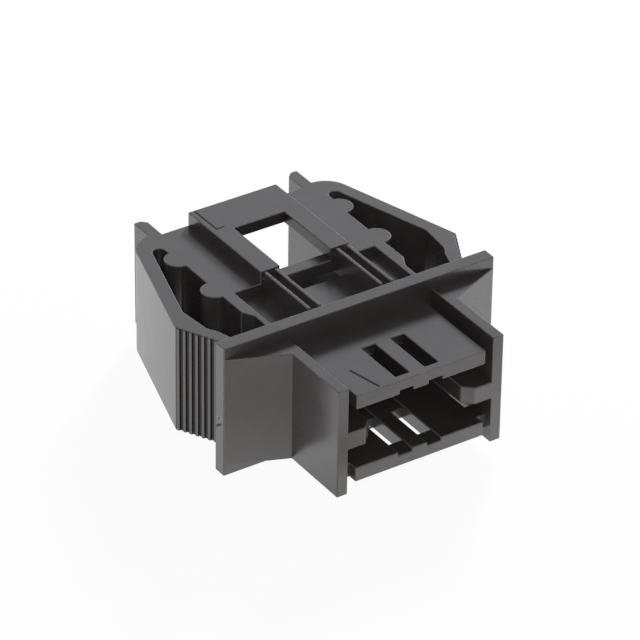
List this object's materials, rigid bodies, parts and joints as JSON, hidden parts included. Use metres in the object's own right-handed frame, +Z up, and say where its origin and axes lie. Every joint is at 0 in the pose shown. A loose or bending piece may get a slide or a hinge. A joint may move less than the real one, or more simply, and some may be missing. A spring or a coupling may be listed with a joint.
{
  "type": "wire-to-wire connector",
  "caption": "Panel-mount wire-to-wire connector housing: flanged rectangular socket with slotted tongues, serrated spring arms that snap behind a panel, and a latch window at the wire side.",
  "frame": {"origin": "bottom centre of the bounding box, under the middle of the housing's length", "axes": "+X across the housing towards the right-hand arm, +Y from the mating socket towards the wire-side opening, +Z up out of the latch bridge"},
  "size_m": [0.0244, 0.0274, 0.0109],
  "materials": {
    "housing": "satin moulded, charcoal black"
  },
  "bodies": {
    "root": {"housing": "housing"}
  },
  "joints": []
}
